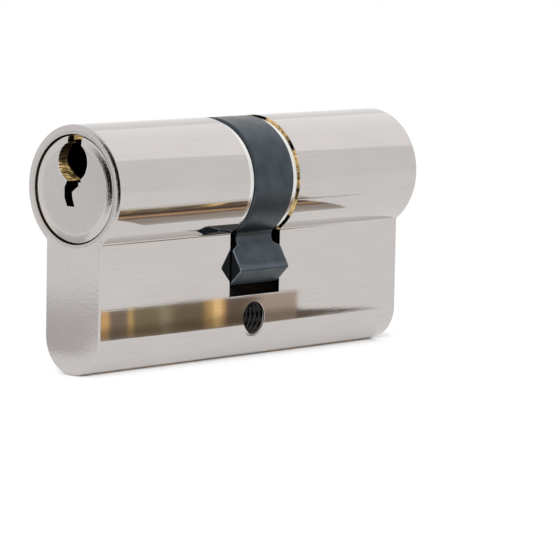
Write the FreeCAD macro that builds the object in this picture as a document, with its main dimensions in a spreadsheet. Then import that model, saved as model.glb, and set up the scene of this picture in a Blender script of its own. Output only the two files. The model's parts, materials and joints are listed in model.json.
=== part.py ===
"""Double euro-profile lock cylinder: housing, two keyed plugs, clutch, cam and pins.

Frame: the origin is the centre of the fixing-screw hole. +X runs along the barrel to the
rear end, +Z points from the stem up to the barrel, and Y is the thickness of the stem.
"""
import FreeCAD, Part
import math
import operator
import os
from types import SimpleNamespace

import Sketcher

SIZES = [
    # the extruded housing
    ("half_length", "30", "fixing hole to each end face"),
    ("barrel_radius", "8.5", "barrel"),
    ("stem_width", "10", "thickness of the flat stem"),
    ("stem_drop", "24.5", "barrel axis to the bottom of the stem"),
    ("shoulder_fillet", "0.5", "hollow between the barrel and the stem"),
    ("end_chamfer", "0.15", "bevel round each end face"),
    ("barrel_rim", "0.9", "width of the shallow rim turned on each end of the barrel"),
    ("barrel_rim_drop", "0.1", "end face down to that rim's outer edge"),
    ("slot_width", "10", "cam slot along the barrel"),
    ("slot_drop", "15.5", "barrel axis to the floor of the cam slot"),
    ("screw_drop", "18.7", "barrel axis to the fixing hole"),
    ("screw_radius", "2.5", "fixing hole at the root of its thread"),
    ("screw_mouth_bevel", "0.1", "countersink of the fixing hole"),
    ("plug_bore_radius", "6.5", "bore that each plug turns in"),
    ("recess_radius", "7.2", "counterbore for the plug's flange"),
    ("recess_depth", "1.3", "depth of that counterbore"),
    # the plugs
    ("running_gap", "0.05", "radial clearance of what turns or slides"),
    ("end_gap", "0.05", "axial clearance between neighbours"),
    ("flange_gap", "0.14", "ring gap round the plug's flange"),
    ("plug_rim", "1.4", "width of the plug's shallow rim"),
    ("plug_rim_drop", "0.2", "plug's face down to that rim's outer edge"),
    ("ring_groove_radius", "5.7", "floor of the retaining ring's groove"),
    ("web_gap", "0.1", "plug's inner end to the cam's web"),
    ("clutch_slot_width", "3.2", "slot across the plug's inner end"),
    # the keyway, seen on the front face
    ("keyway_width", "2.5", "upper keyway, open to the plug's rim"),
    ("keyway_drop", "2.25", "plug's axis to the keyway's floor"),
    ("keyway_side", "0.05", "upper keyway's middle, to the left"),
    ("blade_width", "1.35", "lower keyway, for the key's toothed edge"),
    ("blade_side", "0.55", "middle of the keyway's floor, to the left"),
    ("blade_lean", "0.5", "sideways lean of the lower keyway"),
    ("ward_width", "0.65", "ward ledge to the right of the lower keyway"),
    ("ward_rise", "0.5", "plug's axis up to the ward ledge"),
    ("ward_slope", "0.85", "rise of the slope that leads to the ledge"),
    ("mouth_radius", "2.65", "round mouth of the keyway"),
    ("mouth_rise", "3.6", "plug's axis up to the middle of the mouth"),
    ("mouth_side", "0.28", "middle of the mouth, to the left"),
    ("mouth_depth", "4", "depth of the round mouth"),
    # the retaining rings
    ("ring_thickness", "1", "retaining ring"),
    ("ring_set_back", "0.3", "barrel's surface down to the retaining ring"),
    ("ring_opening", "50", "opening at the bottom of the ring, degrees"),
    # the cam
    ("cam_set_back", "0.05", "barrel's surface down to the cam's ring"),
    ("cam_side_gap", "0.1", "cam to each retaining ring"),
    ("cam_bevel", "0.25", "bevel of the cam's ring"),
    ("web_width", "5", "cam's inner web"),
    ("web_bore_radius", "4.2", "bore of the web"),
    ("cam_angle", "14", "lean of the lever from straight down, degrees"),
    ("lever_half_angle", "16.3", "lever's centre line to each side, degrees"),
    ("lever_fillet", "1.3", "hollow between the ring and the lever"),
    ("nose_root_radius", "9.8", "axis to the flare of the nose"),
    ("nose_ramp", "0.7", "slope on the nose's shoulders"),
    ("nose_side_gap", "0.15", "nose to each wall of the cam slot"),
    ("nose_peak_radius", "13.7", "axis to the nose's widest edges"),
    ("nose_tip_radius", "14.8", "axis to the nose's tip"),
    ("nose_tip_half_angle", "4.9", "half of the tip's arc, degrees"),
    ("nose_round", "0.35", "rounding of the widest edges"),
    ("nose_bevel", "0.15", "bevel of the nose's ends"),
    # the clutch
    ("clutch_gap", "0.1", "clutch to its slots and notches"),
    ("clutch_bite", "1.8", "depth that a clutch half enters the cam's web"),
    ("clutch_hub_radius", "2.95", "round hub of a clutch half"),
    ("clutch_hub_seat", "1.2", "length of the hub behind the wings' front"),
    ("wing_length", "3.4", "wings of a clutch half"),
    # the pins
    ("first_pin", "5.5", "end face to the first pin"),
    ("last_pin", "8.5", "fixing hole to the last pin"),
    ("chamber_radius", "1.5", "pin chamber"),
    ("pin_hole_rise", "0.6", "plug's axis up to the blind end of its pin holes"),
    ("tip_radius", "0.45", "flat at the tip of a key pin"),
    ("tip_length", "1.1", "cone of a key pin"),
    ("key_pin_1", "5.9", "length of key pin 1"),
    ("key_pin_2", "4.9", "length of key pin 2"),
    ("key_pin_3", "6.6", "length of key pin 3"),
    ("key_pin_4", "5.4", "length of key pin 4"),
    ("key_pin_5", "6.2", "length of key pin 5"),
    ("driver_length", "5", "driver pin"),
    ("spring_wire", "0.4", "side of the spring's square wire"),
    ("chamber_plug_length", "3", "pressed plug that closes a chamber"),
]
PINS = (1, 2, 3, 4, 5)
SPRING_TURNS = 5
SPRING_RUNS = 8
OVERRUN = 1.0


class Size:
    """A length or an angle that knows its number and the spreadsheet formula behind it."""

    def __init__(self, formula, number):
        self.formula = formula
        self.number = number

    def __add__(self, other):
        return joined(self, "+", other)

    def __radd__(self, other):
        return joined(other, "+", self)

    def __sub__(self, other):
        return joined(self, "-", other)

    def __rsub__(self, other):
        return joined(other, "-", self)

    def __mul__(self, other):
        return joined(self, "*", other)

    def __rmul__(self, other):
        return joined(other, "*", self)

    def __truediv__(self, other):
        return joined(self, "/", other)

    def __neg__(self):
        return joined(0, "-", self)


OPERATIONS = {"+": operator.add, "-": operator.sub, "*": operator.mul, "/": operator.truediv}


def sized(thing):
    """A plain number as a Size, and a Size as it is."""
    return thing if isinstance(thing, Size) else Size(str(thing), thing)


def joined(left, sign, right):
    left = sized(left)
    right = sized(right)
    number = OPERATIONS[sign](left.number, right.number)
    return Size(f"({left.formula} {sign} {right.formula})", number)


def sine(angle):
    return Size(f"sin({angle.formula} * 1 deg)", math.sin(math.radians(angle.number)))


def cosine(angle):
    return Size(f"cos({angle.formula} * 1 deg)", math.cos(math.radians(angle.number)))


def arcsine(ratio):
    return Size(f"(asin({ratio.formula}) / 1 deg)", math.degrees(math.asin(ratio.number)))


def side(long_side, short_side):
    """The third side of a right triangle, from its longest side and one other."""
    number = math.sqrt(long_side.number ** 2 - short_side.number ** 2)
    return Size(f"sqrt({long_side.formula}^2 - {short_side.formula}^2)", number)


def polar(radius, angle):
    """(Y, Z) at a radius from the barrel axis, the angle taken from straight down to -Y."""
    return -(radius * sine(angle)), -(radius * cosine(angle))


doc = FreeCAD.newDocument("euro_cylinder")
sheet = doc.addObject("Spreadsheet::Sheet", "Sizes")
for row, (alias, text, note) in enumerate(SIZES, start=1):
    sheet.set(f"A{row}", note)
    sheet.set(f"B{row}", text)
    sheet.setAlias(f"B{row}", alias)
doc.recompute()
size = SimpleNamespace(**{alias: Size(f"Sizes.{alias}", float(sheet.get(alias))) for alias, _, _ in SIZES})

# sizes that follow from the sheet's, so that what fits together stays together
plug_radius = size.plug_bore_radius - size.running_gap
ring_radius = size.barrel_radius - size.ring_set_back
cam_radius = size.barrel_radius - size.cam_set_back
pin_radius = size.chamber_radius - size.running_gap
ring_outer_x = size.slot_width / 2 - size.end_gap
ring_inner_x = ring_outer_x - size.ring_thickness
cam_width = (ring_inner_x - size.cam_side_gap) * 2
nose_width = size.slot_width - size.nose_side_gap * 2
plug_end_x = size.web_width / 2 + size.web_gap
wing_reach = size.ring_groove_radius - size.clutch_gap
wing_width = size.clutch_slot_width - size.clutch_gap * 2
bitten_x = size.web_width / 2 - size.clutch_bite
drawn_x = plug_end_x + size.end_gap
stem_radius = size.stem_width / 2
front_first_x = size.first_pin - size.half_length
pin_pitch = (size.half_length - size.first_pin - size.last_pin) / (len(PINS) - 1)
key_pin_drop = side(plug_radius, pin_radius)
driver_top = size.screw_drop - size.plug_bore_radius
driver_bottom = driver_top - size.driver_length
stem_bottom = size.screw_drop - size.stem_drop
spring_bottom = stem_bottom + size.chamber_plug_length
spring_length = driver_bottom - spring_bottom


def bind(thing, **formulas):
    """Ties properties to the sheet. Two underscores in a name stand for a dot."""
    for name, amount in formulas.items():
        thing.setExpression(name.replace("__", "."), amount.formula)


def new_body(name, x=sized(0), z=size.screw_drop, turned=False):
    """An empty body whose own origin lies on the barrel axis, unless x and z say otherwise."""
    body = doc.addObject("PartDesign::Body", name)
    body.Label = name
    if turned:
        half_turn = FreeCAD.Rotation(FreeCAD.Vector(0, 0, 1), 180)
        body.Placement = FreeCAD.Placement(FreeCAD.Vector(), half_turn)
    bind(body, Placement__Base__x=x, Placement__Base__z=z)
    return body


def new_sketch(body, name, plane, offset=sized(0)):
    """A sketch on one of the body's own planes, or at an offset along that plane's normal."""
    sketch = body.newObject("Sketcher::SketchObject", name)
    support = next(f for f in body.Origin.OriginFeatures if f.Role == plane)
    sketch.AttachmentSupport = [(support, "")]
    sketch.MapMode = "FlatFace"
    bind(sketch, AttachmentOffset__Base__z=offset)
    return sketch


def hold(sketch, geometry, point, place, only=None):
    """Dimensions one point of a sketch from its origin, or puts it on an axis."""
    for kind, axis, amount in (("DistanceX", -2, place[0]), ("DistanceY", -1, place[1])):
        if only and kind != only:
            continue
        amount = sized(amount)
        if amount.formula == "0":
            sketch.addConstraint(Sketcher.Constraint("PointOnObject", geometry, point, axis))
            continue
        rule = Sketcher.Constraint(kind, -1, 1, geometry, point, amount.number)
        index = sketch.addConstraint(rule)
        sketch.setExpression(f"Constraints[{index}]", amount.formula)


def vector(place):
    return FreeCAD.Vector(sized(place[0]).number, sized(place[1]).number, 0)


def draw_circle(sketch, centre, radius):
    circle = Part.Circle(vector(centre), FreeCAD.Vector(0, 0, 1), radius.number)
    index = sketch.addGeometry(circle, False)
    hold(sketch, index, 3, centre)
    rule = sketch.addConstraint(Sketcher.Constraint("Radius", index, radius.number))
    sketch.setExpression(f"Constraints[{rule}]", radius.formula)


def draw_outline(sketch, corners, arcs=None):
    """A closed outline through its corners, straight but for the arcs.

    arcs maps the index of a side's first corner to (centre, turns_left). The corners fix
    an arc but for one coordinate of its centre, the one across its chord.
    """
    arcs = arcs or {}
    points = [vector(corner) for corner in corners]
    ends = []
    for index, start in enumerate(points):
        finish = points[(index + 1) % len(points)]
        if index not in arcs:
            ends.append((sketch.addGeometry(Part.LineSegment(start, finish), False), 1, 2))
            continue
        centre, turns_left = arcs[index]
        middle = vector(centre)
        circle = Part.Circle(middle, FreeCAD.Vector(0, 0, 1), middle.distanceToPoint(start))
        low, high = (start, finish) if turns_left else (finish, start)
        arc = Part.ArcOfCircle(circle, circle.parameter(low), circle.parameter(high))
        edge = sketch.addGeometry(arc, False)
        ends.append((edge, 1, 2) if turns_left else (edge, 2, 1))
        chord = finish - start
        hold(sketch, edge, 3, centre, only="DistanceY" if abs(chord.x) > abs(chord.y) else "DistanceX")
    for index, (edge, first, last) in enumerate(ends):
        hold(sketch, edge, first, corners[index])
        follower, follower_first, _ = ends[(index + 1) % len(ends)]
        rule = Sketcher.Constraint("Coincident", edge, last, follower, follower_first)
        sketch.addConstraint(rule)


def rectangle(left, low, right, high):
    return [(left, low), (right, low), (right, high), (left, high)]


def add(body, kind, name, sketch, **settings):
    """One feature on a sketch. Sizes are bound and other settings are set."""
    feature = body.newObject(f"PartDesign::{kind}", name)
    feature.Profile = sketch
    sketch.Visibility = False
    for key, amount in settings.items():
        if isinstance(amount, Size):
            bind(feature, **{key: amount})
        else:
            setattr(feature, key, amount)
    doc.recompute()
    return feature


def pad_both_ways(body, name, sketch, width):
    return add(body, "Pad", name, sketch, SideType="Symmetric", Length=width)


def cut_through(body, name, sketch, both_ways=True):
    way = "Symmetric" if both_ways else "One side"
    return add(body, "Pocket", name, sketch, SideType=way, Type="ThroughAll")


def turn_on_axis(body, kind, name, sketch, axis="H_Axis", **settings):
    return add(body, kind, name, sketch, ReferenceAxis=(sketch, [axis]), **settings)


def repeat_along_x(body, name, original, count, pitch):
    pattern = body.newObject("PartDesign::LinearPattern", name)
    pattern.Originals = [original]
    axis = next(f for f in body.Origin.OriginFeatures if f.Role == "X_Axis")
    pattern.Direction = (axis, [""])
    pattern.Occurrences = count
    bind(pattern, Length=pitch * (count - 1))
    body.Tip = pattern
    doc.recompute()


def dress(body, kind, name, amount, chosen):
    """A chamfer or fillet on the edges of the body's present shape that chosen() picks."""
    base = body.Tip
    names = [f"Edge{i}" for i, edge in enumerate(base.Shape.Edges, start=1) if chosen(edge)]
    if not names:
        raise RuntimeError(f"{body.Label}: {name} found no edge")
    feature = body.newObject(f"PartDesign::{kind}", name)
    feature.Base = (base, names)
    bind(feature, **{"Size" if kind == "Chamfer" else "Radius": amount})
    doc.recompute()


def from_axis(point):
    """Distance of a point from a body's own X axis."""
    return math.hypot(point.y, point.z)


def is_near(number, amount):
    return abs(number - amount.number) < 1e-4


def pin_x(number, first_x):
    return first_x + pin_pitch * (number - 1)


# ---- housing ----

def make_housing():
    """The extruded barrel and stem, cut for the cam, the plugs, the pins and the screw."""
    body = new_body("housing")
    round_z = stem_radius - size.stem_drop

    # a hollow arc joins the barrel to each side of the stem and touches both
    hollow_y = stem_radius + size.shoulder_fillet
    hollow_reach = size.barrel_radius + size.shoulder_fillet
    hollow_z = -side(hollow_reach, hollow_y)
    barrel_end_y = hollow_y * size.barrel_radius / hollow_reach
    barrel_end_z = hollow_z * size.barrel_radius / hollow_reach
    profile = new_sketch(body, "profile", "YZ_Plane")
    corners = [
        (barrel_end_y, barrel_end_z),
        (-barrel_end_y, barrel_end_z),
        (-stem_radius, hollow_z),
        (-stem_radius, round_z),
        (stem_radius, round_z),
        (stem_radius, hollow_z),
    ]
    arcs = {
        0: ((0, 0), True),
        1: ((-hollow_y, hollow_z), False),
        3: ((0, round_z), True),
        5: ((hollow_y, hollow_z), False),
    }
    draw_outline(profile, corners, arcs)
    pad_both_ways(body, "extrusion", profile, size.half_length * 2)
    at_ends = lambda edge: all(is_near(abs(v.X), size.half_length) for v in edge.Vertexes)
    dress(body, "Chamfer", "end_bevels", size.end_chamfer, at_ends)

    # each end face falls off toward the barrel's surface, but not along the stem
    rims = new_sketch(body, "barrel_rim_sections", "XZ_Plane")
    rim_start = size.barrel_radius - size.barrel_rim
    rim_end = size.barrel_radius + OVERRUN
    rim_x = size.half_length - size.barrel_rim_drop * (size.barrel_rim + OVERRUN) / size.barrel_rim
    outer_x = size.half_length + OVERRUN
    for sign in (-1, 1):
        corners = [
            (size.half_length * sign, rim_start),
            (rim_x * sign, rim_end),
            (outer_x * sign, rim_end),
            (outer_x * sign, rim_start),
        ]
        draw_outline(rims, corners)
    stem_angle = arcsine(barrel_end_y / size.barrel_radius) * 2
    turn_on_axis(body, "Groove", "barrel_rims", rims, Angle=360 - stem_angle, Midplane=True)

    slot = new_sketch(body, "cam_slot_outline", "XZ_Plane")
    half_slot = size.slot_width / 2
    slot_top = size.barrel_radius + OVERRUN
    draw_outline(slot, rectangle(-half_slot, -size.slot_drop, half_slot, slot_top))
    cut_through(body, "cam_slot", slot)

    bore = new_sketch(body, "bore_profile", "XZ_Plane")
    recess_x = size.half_length - size.recess_depth
    corners = [
        (-size.half_length, 0),
        (size.half_length, 0),
        (size.half_length, size.recess_radius),
        (recess_x, size.recess_radius),
        (recess_x, size.plug_bore_radius),
        (-recess_x, size.plug_bore_radius),
        (-recess_x, size.recess_radius),
        (-size.half_length, size.recess_radius),
    ]
    draw_outline(bore, corners)
    turn_on_axis(body, "Groove", "plug_bore", bore)

    chambers = new_sketch(body, "chamber_circles", "XY_Plane")
    draw_circle(chambers, (front_first_x, 0), size.chamber_radius)
    draw_circle(chambers, (size.last_pin, 0), size.chamber_radius)
    first = cut_through(body, "first_chambers", chambers, both_ways=False)
    repeat_along_x(body, "pin_chambers", first, len(PINS), pin_pitch)

    hole = new_sketch(body, "screw_hole_profile", "XY_Plane", offset=-size.screw_drop)
    mouth = size.screw_radius + size.screw_mouth_bevel
    straight = stem_radius - size.screw_mouth_bevel
    corners = [
        (0, -stem_radius),
        (mouth, -stem_radius),
        (size.screw_radius, -straight),
        (size.screw_radius, straight),
        (mouth, stem_radius),
        (0, stem_radius),
    ]
    draw_outline(hole, corners)
    turn_on_axis(body, "Groove", "fixing_screw_hole", hole, axis="V_Axis")


# ---- plugs and their rings ----

def make_plug(name, turned):
    """A plug with its flange, ring groove, keyway, pin holes and clutch slot.

    It is drawn as the front one, with its face at -X. The rear one is turned half round.
    """
    body = new_body(name, turned=turned)
    face_x = -size.half_length
    flange_radius = size.recess_radius - size.flange_gap
    flange_x = face_x + size.recess_depth - size.end_gap
    profile = new_sketch(body, "turned_profile", "XZ_Plane")
    corners = [
        (face_x, 0),
        (face_x, flange_radius - size.plug_rim),
        (face_x + size.plug_rim_drop, flange_radius),
        (flange_x, flange_radius),
        (flange_x, plug_radius),
        (-ring_outer_x, plug_radius),
        (-ring_outer_x, size.ring_groove_radius),
        (-ring_inner_x, size.ring_groove_radius),
        (-ring_inner_x, plug_radius),
        (-plug_end_x, plug_radius),
        (-plug_end_x, 0),
    ]
    draw_outline(profile, corners)
    turn_on_axis(body, "Revolution", "turned_plug", profile)

    keyway = new_sketch(body, "keyway_profile", "YZ_Plane")
    left = size.keyway_side + size.keyway_width / 2
    right = size.keyway_side - size.keyway_width / 2
    floor_left = size.blade_side + size.blade_width / 2
    floor_right = size.blade_side - size.blade_width / 2
    top = flange_radius + OVERRUN
    half_drop = -size.keyway_drop / 2
    corners = [
        (floor_left, -size.keyway_drop),
        (floor_left + size.blade_lean, half_drop),
        (floor_left + size.blade_lean, size.ward_rise / 2),
        (left, size.ward_rise * 2),
        (left, top),
        (right, top),
        (right, size.ward_rise * 2),
        (floor_right - size.ward_width, size.ward_rise * 2),
        (floor_right - size.ward_width, size.ward_rise),
        (floor_right + size.blade_lean, size.ward_rise - size.ward_slope),
        (floor_right + size.blade_lean * 0.8, half_drop),
        (floor_right, -size.keyway_drop),
    ]
    draw_outline(keyway, corners)
    cut_through(body, "keyway", keyway)

    mouth = new_sketch(body, "mouth_circle", "YZ_Plane", offset=face_x)
    draw_circle(mouth, (size.mouth_side, size.mouth_rise), size.mouth_radius)
    add(body, "Pocket", "keyway_mouth", mouth, Length=size.mouth_depth, Reversed=True)

    inner_end = new_sketch(body, "clutch_slot_outline", "XY_Plane")
    slot_x = drawn_x + size.wing_length + size.end_gap
    half_slot = size.clutch_slot_width / 2
    draw_outline(inner_end, rectangle(-slot_x, -half_slot, -plug_end_x + OVERRUN, half_slot))
    cut_through(body, "clutch_slot", inner_end)

    seat = new_sketch(body, "clutch_hub_seat_profile", "XZ_Plane")
    seat_x = drawn_x + size.clutch_hub_seat + size.end_gap
    seat_radius = size.clutch_hub_radius + size.clutch_gap
    draw_outline(seat, rectangle(-seat_x, sized(0), -plug_end_x, seat_radius))
    turn_on_axis(body, "Groove", "clutch_hub_seat", seat)

    holes = new_sketch(body, "pin_hole_circle", "XY_Plane", offset=size.pin_hole_rise)
    draw_circle(holes, (front_first_x, 0), size.chamber_radius)
    first = cut_through(body, "first_pin_hole", holes, both_ways=False)
    repeat_along_x(body, "pin_holes", first, len(PINS), pin_pitch)


def make_retaining_ring(name, turned):
    """A flat open ring in the plug's groove, with its opening at the bottom."""
    body = new_body(name, turned=turned)
    section = new_sketch(body, "ring_section", "XZ_Plane")
    corners = rectangle(-ring_outer_x, size.ring_groove_radius, -ring_inner_x, ring_radius)
    draw_outline(section, corners)
    turn_on_axis(body, "Revolution", "ring", section, Angle=360 - size.ring_opening, Midplane=True)


# ---- cam ----

def make_cam():
    """The cam's ring on the plugs' inner ends, with its web, lever and flared nose."""
    body = new_body("cam")
    half_width = cam_width / 2
    half_web = size.web_width / 2
    ring = new_sketch(body, "ring_section", "XZ_Plane")
    corners = [
        (-half_width, size.plug_bore_radius),
        (-half_web, size.plug_bore_radius),
        (-half_web, size.web_bore_radius),
        (half_web, size.web_bore_radius),
        (half_web, size.plug_bore_radius),
        (half_width, size.plug_bore_radius),
        (half_width, cam_radius - size.cam_bevel),
        (half_width - size.cam_bevel, cam_radius),
        (-half_width + size.cam_bevel, cam_radius),
        (-half_width, cam_radius - size.cam_bevel),
    ]
    draw_outline(ring, corners)
    turn_on_axis(body, "Revolution", "ring", ring)

    # the lever's sides are radial, and a hollow arc joins each to the ring
    near_side = size.cam_angle + size.lever_half_angle
    far_side = size.cam_angle - size.lever_half_angle
    hollow_radius = cam_radius + size.lever_fillet
    hollow_angle = arcsine(size.lever_fillet / hollow_radius)
    side_start = side(hollow_radius, size.lever_fillet)
    neck_end = size.nose_root_radius + size.nose_ramp
    neck = new_sketch(body, "neck_outline", "YZ_Plane")
    corners = [
        polar(cam_radius, near_side + hollow_angle),
        polar(side_start, near_side),
        polar(neck_end, near_side),
        polar(neck_end, far_side),
        polar(side_start, far_side),
        polar(cam_radius, far_side - hollow_angle),
    ]
    near_hollow = (polar(hollow_radius, near_side + hollow_angle), False)
    far_hollow = (polar(hollow_radius, far_side - hollow_angle), False)
    draw_outline(neck, corners, {0: near_hollow, 4: far_hollow})
    pad_both_ways(body, "neck", neck, cam_width - size.cam_bevel * 2)

    nose = new_sketch(body, "nose_outline", "YZ_Plane")
    near_tip = size.cam_angle + size.nose_tip_half_angle
    far_tip = size.cam_angle - size.nose_tip_half_angle
    corners = [
        polar(size.nose_root_radius, near_side),
        polar(size.nose_peak_radius, near_side),
        polar(size.nose_tip_radius, near_tip),
        polar(size.nose_tip_radius, far_tip),
        polar(size.nose_peak_radius, far_side),
        polar(size.nose_root_radius, far_side),
    ]
    draw_outline(nose, corners, {2: ((0, 0), True)})
    pad_both_ways(body, "nose", nose, nose_width)
    at_peak = lambda edge: all(is_near(from_axis(v.Point), size.nose_peak_radius) for v in edge.Vertexes)
    dress(body, "Fillet", "rounded_peaks", size.nose_round, at_peak)
    beyond_root = size.nose_root_radius.number + OVERRUN / 10
    on_end = lambda edge: (
        all(is_near(abs(v.X), nose_width / 2) for v in edge.Vertexes)
        and max(from_axis(v.Point) for v in edge.Vertexes) > beyond_root
    )
    dress(body, "Chamfer", "nose_end_bevels", size.nose_bevel, on_end)

    ramps = new_sketch(body, "shoulder_ramps", "XZ_Plane")
    half_nose = nose_width / 2
    start_x = half_width - size.cam_bevel
    for sign in (-1, 1):
        corners = [
            (start_x * sign, size.nose_root_radius - size.nose_ramp),
            (start_x * sign, size.nose_root_radius),
            (half_nose * sign, size.nose_root_radius + size.nose_ramp),
            ((half_nose + OVERRUN) * sign, size.nose_root_radius + size.nose_ramp),
            ((half_nose + OVERRUN) * sign, size.nose_root_radius - size.nose_ramp),
        ]
        draw_outline(ramps, corners)
    turn_on_axis(body, "Groove", "shoulders", ramps)

    notches = new_sketch(body, "notch_outline", "YZ_Plane")
    half_notch = wing_width / 2 + size.clutch_gap
    reach = wing_reach + size.clutch_gap
    draw_outline(notches, rectangle(-half_notch, -reach, half_notch, reach))
    cut_through(body, "notches", notches)


# ---- clutch ----

def make_clutch_half(name, turned, front_x):
    """A clutch half: a flat bar whose ends are its wings, with a round hub at its front."""
    body = new_body(name, turned=turned)
    hub_x = front_x - (drawn_x + bitten_x - size.end_gap) / 2
    bar = new_sketch(body, "bar_outline", "XZ_Plane")
    back_x = front_x + size.wing_length
    long_reach = wing_reach + OVERRUN
    draw_outline(bar, rectangle(-back_x, -long_reach, -front_x, long_reach))
    pad_both_ways(body, "bar", bar, wing_width)
    ends = new_sketch(body, "wing_end_profile", "XZ_Plane")
    beyond = wing_reach + OVERRUN * 2
    draw_outline(ends, rectangle(-back_x, wing_reach, -front_x, beyond))
    turn_on_axis(body, "Groove", "rounded_wings", ends)
    hub = new_sketch(body, "hub_profile", "XZ_Plane")
    seat_x = front_x + size.clutch_hub_seat
    draw_outline(hub, rectangle(-seat_x, sized(0), -hub_x, size.clutch_hub_radius))
    turn_on_axis(body, "Revolution", "hub", hub)


# ---- pins, springs and chamber plugs ----

def add_primitive(kind, name, x, z, **sizes):
    """One upright Part primitive, centred on the middle plane of the stem."""
    thing = doc.addObject(f"Part::{kind}", name)
    bind(thing, Placement__Base__x=x, Placement__Base__z=z, **sizes)
    return thing


def make_key_pin(name, x, length):
    """A key pin, standing on the shear line with its cone up in the keyway."""
    foot_z = size.screw_drop - key_pin_drop
    shank_length = length - size.tip_length
    shank = add_primitive("Cylinder", f"{name}_shank", x, foot_z, Radius=pin_radius, Height=shank_length)
    tip = add_primitive("Cone", f"{name}_tip", x, foot_z + shank_length, Height=size.tip_length)
    bind(tip, Radius1=pin_radius, Radius2=size.tip_radius)
    pin = doc.addObject("Part::Fuse", name)
    pin.Base = shank
    pin.Tool = tip
    pin.Refine = True
    pin.Label = name


def make_driver_pin(name, x):
    """A driver pin, with its top at the plug's bore."""
    pin = add_primitive("Cylinder", name, x, driver_bottom, Radius=pin_radius, Height=size.driver_length)
    pin.Label = name


def make_spring(name, x):
    """A coil spring of square wire, from the chamber plug up to the driver.

    Its path climbs round the chamber in short straight runs, eight to a turn.
    """
    run = 2 * math.pi / SPRING_RUNS
    wire = size.spring_wire.number
    radius = pin_radius.number * math.cos(run / 2) - wire / 2
    steps = SPRING_TURNS * SPRING_RUNS
    rise = (spring_length.number - wire * 1.25) / steps
    start = wire * 0.625
    path = []
    for step in range(steps + 1):
        angle = run * step
        path.append(FreeCAD.Vector(radius * math.cos(angle), radius * math.sin(angle), start + rise * step))
    ahead = (path[1] - path[0]).normalize()
    across = ahead.cross(FreeCAD.Vector(0, 0, 1)).normalize() * (wire / 2)
    upward = across.cross(ahead)
    corners = [across + upward, upward - across, -across - upward, across - upward]
    section = Part.makePolygon([path[0] + corner for corner in corners + corners[:1]])
    solid_ends = True
    mitred = 1
    spring = doc.addObject("Part::Feature", name)
    spring.Shape = Part.makePolygon(path).makePipeShell([section], solid_ends, False, mitred)
    place = FreeCAD.Vector(x.number, 0, spring_bottom.number)
    spring.Placement = FreeCAD.Placement(place, FreeCAD.Rotation())
    spring.Label = name


def make_chamber_plugs(name, first_x):
    """Five pressed plugs that close one side's pin chambers, flush with the round bottom."""
    bottom = doc.addObject("Part::Cylinder", f"{name}_round_bottom")
    along_x = FreeCAD.Rotation(FreeCAD.Vector(0, 1, 0), 90)
    bottom.Placement = FreeCAD.Placement(FreeCAD.Vector(), along_x)
    bind(bottom, Radius=stem_radius, Height=pin_pitch * (len(PINS) + 1))
    bind(bottom, Placement__Base__x=first_x - pin_pitch)
    bind(bottom, Placement__Base__z=stem_bottom + stem_radius)
    rods = []
    for number in PINS:
        rod = add_primitive("Cylinder", f"{name}_rod_{number}", pin_x(number, first_x), stem_bottom)
        bind(rod, Radius=size.chamber_radius, Height=size.chamber_plug_length)
        rods.append(rod)
    row_of_rods = doc.addObject("Part::MultiFuse", f"{name}_rods")
    row_of_rods.Shapes = rods
    plugs = doc.addObject("Part::MultiCommon", name)
    plugs.Shapes = [row_of_rods, bottom]
    plugs.Label = name
    doc.recompute()


def make_half(end, turned):
    """All that belongs to one end of the cylinder. Pin 1 is next to the end face."""
    make_plug(f"{end}_plug", turned)
    make_retaining_ring(f"{end}_retaining_ring", turned)
    make_clutch_half(f"{end}_clutch", turned, drawn_x if turned else bitten_x)
    names = [f"{end}_{piece}" for piece in ("plug", "retaining_ring", "clutch", "chamber_plugs")]
    key_pins = (size.key_pin_1, size.key_pin_2, size.key_pin_3, size.key_pin_4, size.key_pin_5)
    for number, length in zip(PINS, key_pins):
        x = pin_x(number, front_first_x)
        if turned:
            x = -x
        make_key_pin(f"{end}_key_pin_{number}", x, length)
        make_driver_pin(f"{end}_driver_pin_{number}", x)
        make_spring(f"{end}_pin_spring_{number}", x)
        names += [f"{end}_{piece}_{number}" for piece in ("key_pin", "driver_pin", "pin_spring")]
    make_chamber_plugs(f"{end}_chamber_plugs", size.last_pin if turned else front_first_x)
    return names


CUTS = ("PartDesign::Pocket", "PartDesign::Groove", "PartDesign::LinearPattern", "PartDesign::Chamfer")


def check(parts):
    """Stops on anything failed, empty or invalid, and on a cut that removes nothing."""
    for thing in doc.Objects:
        if "Invalid" in thing.State or "Error" in thing.State:
            raise RuntimeError(f"{thing.Label} ({thing.Name}): {thing.State}")
        if thing.TypeId in CUTS and thing.Shape.Volume >= thing.BaseFeature.Shape.Volume:
            raise RuntimeError(f"{thing.Label} ({thing.Name}) removes nothing")
    for part in parts:
        if part.Shape.isNull() or not part.Shape.isValid() or not part.Shape.Solids:
            raise RuntimeError(f"{part.Label} has no valid solid")


make_housing()
make_cam()
names = ["housing", "cam"] + make_half("front", turned=False) + make_half("rear", turned=True)
doc.recompute()

parts = [doc.getObject(name) for name in names]
check(parts)
os.makedirs("parts", exist_ok=True)
for part in parts:
    part.Shape.exportStep(f"parts/{part.Label}.step")
print(len(parts), "sub-parts written")
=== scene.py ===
"""Dresses the euro-profile lock cylinder: finer metal parts and springs, finishes, stage and camera.

Everything is in metres in the frame of the packed model: the origin is the centre of the
fixing-screw hole, +X runs along the barrel to the rear end and +Z points up.
"""
import itertools
import json
import math

import bpy
import numpy as np
from bpy.props import FloatProperty, FloatVectorProperty, IntProperty, PointerProperty
from mathutils import Matrix, Vector


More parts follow.
